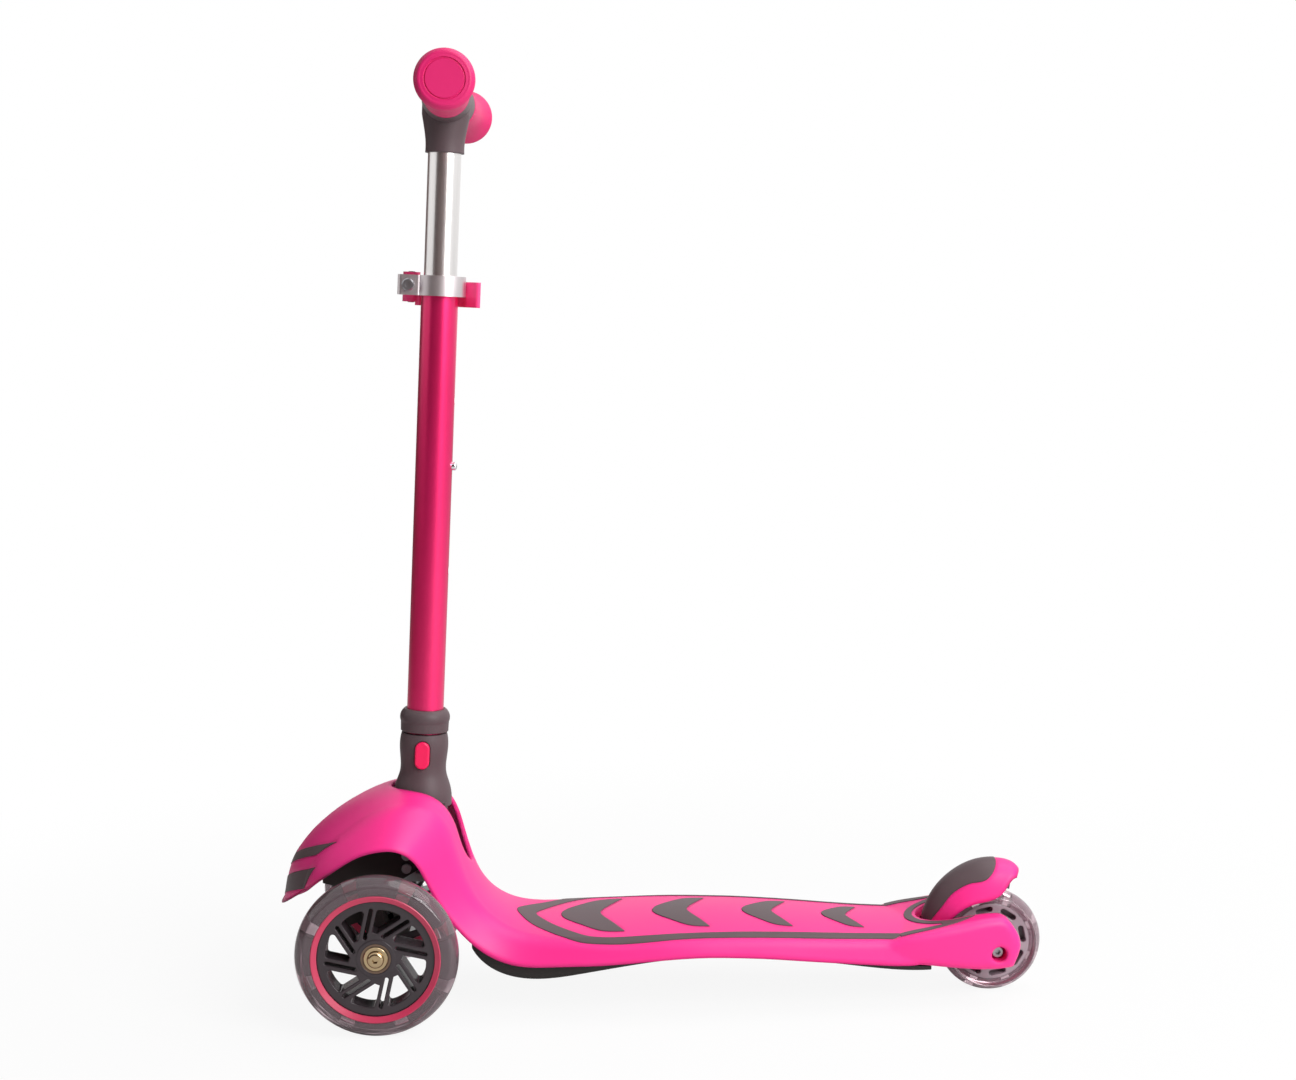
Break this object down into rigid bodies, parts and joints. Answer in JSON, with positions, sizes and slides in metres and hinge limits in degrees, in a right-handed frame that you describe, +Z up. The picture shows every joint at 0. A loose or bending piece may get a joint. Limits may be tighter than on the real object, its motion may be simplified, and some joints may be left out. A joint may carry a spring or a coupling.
{
  "type": "kick scooter",
  "caption": "Child's lean-to-steer kick scooter with two wheels in front, a folding stem, height-adjustable T-bar and a foot brake over the rear wheel.",
  "frame": {"origin": "on the ground under the middle of the scooter's box", "axes": "+X to the back, +Y to the rider's right, +Z up; the front faces -X"},
  "size_m": [0.5895, 0.2962, 0.7055],
  "materials": {
    "body_pink": "smooth moulded, soft gloss",
    "lever_red": "smooth moulded",
    "grip_pink": "soft matt rubber",
    "tube_paint": "metallic paint",
    "warm_grey": "fine grain",
    "black_plastic": "fine grain",
    "polished_tube": "polished",
    "clamp_silver": "satin",
    "steel": "plated",
    "bearing_bronze": "dark shield",
    "chrome_button": "polished",
    "brass_bolts": "yellow plated",
    "clear_tyre": "smoky translucent",
    "smoky_core": "smoky",
    "rim_pink": "smooth",
    "buffer_rubber": "matt"
  },
  "bodies": {
    "chassis": {"deck_shell": "body_pink", "deck_border": "warm_grey", "deck_chevrons": "warm_grey", "nose_inlays": "warm_grey", "undertray": "black_plastic", "tray_screws": "steel", "steering_carrier": "black_plastic", "carrier_screws": "steel", "kingpins": "steel", "fold_bracket": "steel", "fold_pin": "steel", "bracket_bolts": "steel", "steering_buffers": "buffer_rubber", "rear_axle": "steel", "axle_sleeves": "steel", "brake_pin": "steel"},
    "left_knuckle": {"left_knuckle": "black_plastic", "left_tie_pin": "steel", "left_axle_bolt": "brass_bolts", "left_axle_washer": "brass_bolts"},
    "right_knuckle": {"right_knuckle": "black_plastic", "right_tie_pin": "steel", "right_axle_bolt": "brass_bolts", "right_axle_washer": "brass_bolts"},
    "tie_rod": {"tie_rod": "black_plastic"},
    "left_wheel": {"left_wheel_core": "smoky_core", "left_tyre": "clear_tyre", "left_rim_bands": "rim_pink", "left_bearings": "bearing_bronze", "left_spacer": "steel"},
    "right_wheel": {"right_wheel_core": "smoky_core", "right_tyre": "clear_tyre", "right_rim_bands": "rim_pink", "right_bearings": "bearing_bronze", "right_spacer": "steel"},
    "rear_wheel": {"rear_wheel_core": "smoky_core", "rear_tyre": "clear_tyre", "rear_bearings": "bearing_bronze", "rear_spacer": "steel"},
    "brake": {"brake_fender": "body_pink", "brake_pad": "warm_grey", "brake_shoe": "warm_grey"},
    "stem": {"stem_socket": "warm_grey", "socket_ring": "warm_grey", "outer_tube": "tube_paint", "clamp_collar": "clamp_silver", "clamp_bolt": "steel", "lever_pin": "steel", "lock_leaf": "steel"},
    "fold_button": {"fold_button": "lever_red"},
    "clamp_lever": {"clamp_lever": "lever_red"},
    "handle": {"inner_tube": "polished_tube", "crossbar": "polished_tube", "tee_sleeve": "warm_grey", "left_grip": "grip_pink", "right_grip": "grip_pink", "snap_spring": "steel"},
    "snap_button": {"snap_button": "chrome_button"}
  },
  "joints": [
    {"name": "left_steer", "type": "hinge", "parent": "chassis", "child": "left_knuckle", "pos_m": [-0.21966, -0.03, 0.07691], "axis": [-0.342, 0, 0.9397], "range_deg": [-9, 9], "stiffness_Nm_per_rad": 8, "deforming": ["steering_buffers"]},
    {"name": "right_steer", "type": "hinge", "parent": "chassis", "child": "right_knuckle", "pos_m": [-0.21966, 0.03, 0.07691], "axis": [-0.342, 0, 0.9397], "range_deg": [-9, 9], "deforming": ["steering_buffers"]},
    {"name": "tie_rod_swing", "type": "hinge", "parent": "left_knuckle", "child": "tie_rod", "pos_m": [-0.24836, -0.03, 0.07392], "axis": [-0.342, 0, 0.9397], "range_deg": [-9, 9]},
    {"name": "left_wheel_spin", "type": "hinge", "parent": "left_knuckle", "child": "left_wheel", "pos_m": [-0.2135, -0.093, 0.06], "axis": [0, 1, 0], "continuous": true},
    {"name": "right_wheel_spin", "type": "hinge", "parent": "right_knuckle", "child": "right_wheel", "pos_m": [-0.2135, 0.093, 0.06], "axis": [0, 1, 0], "continuous": true},
    {"name": "rear_wheel_spin", "type": "hinge", "parent": "chassis", "child": "rear_wheel", "pos_m": [0.255, 0, 0.04], "axis": [0, 1, 0], "continuous": true},
    {"name": "brake_press", "type": "hinge", "parent": "chassis", "child": "brake", "pos_m": [0.207, 0, 0.0485], "axis": [0, 1, 0], "range_deg": [0, 4.3], "stiffness_Nm_per_rad": 4, "springref_deg": -3.44},
    {"name": "stem_fold", "type": "hinge", "parent": "chassis", "child": "stem", "pos_m": [-0.18101, 0, 0.13498], "axis": [0, 1, 0], "range_deg": [0, 87], "deforming": ["lock_leaf"]},
    {"name": "fold_button_press", "type": "slide", "parent": "stem", "child": "fold_button", "axis": [0, 1, 0], "range_m": [0, 0.0035], "stiffness_N_per_m": 900, "springref_m": -0.003, "deforming": ["lock_leaf"]},
    {"name": "handle_height", "type": "slide", "parent": "stem", "child": "handle", "axis": [0.0458, 0, 0.999], "range_m": [-0.08, 0.05], "deforming": ["snap_spring", "snap_button"]},
    {"name": "snap_press", "type": "slide", "parent": "handle", "child": "snap_button", "axis": [-0.999, 0, 0.0458], "range_m": [0, 0.0035], "stiffness_N_per_m": 600, "springref_m": -0.003, "deforming": ["snap_spring"]},
    {"name": "clamp_lever_open", "type": "hinge", "parent": "stem", "child": "clamp_lever", "pos_m": [-0.19113, 0.02, 0.54798], "axis": [0.0458, 0, 0.999], "range_deg": [0, 150]}
  ],
  "couplings": [
    {"joint": "right_steer", "follows": "left_steer", "ratio": 1},
    {"joint": "tie_rod_swing", "follows": "left_steer", "ratio": -1}
  ]
}
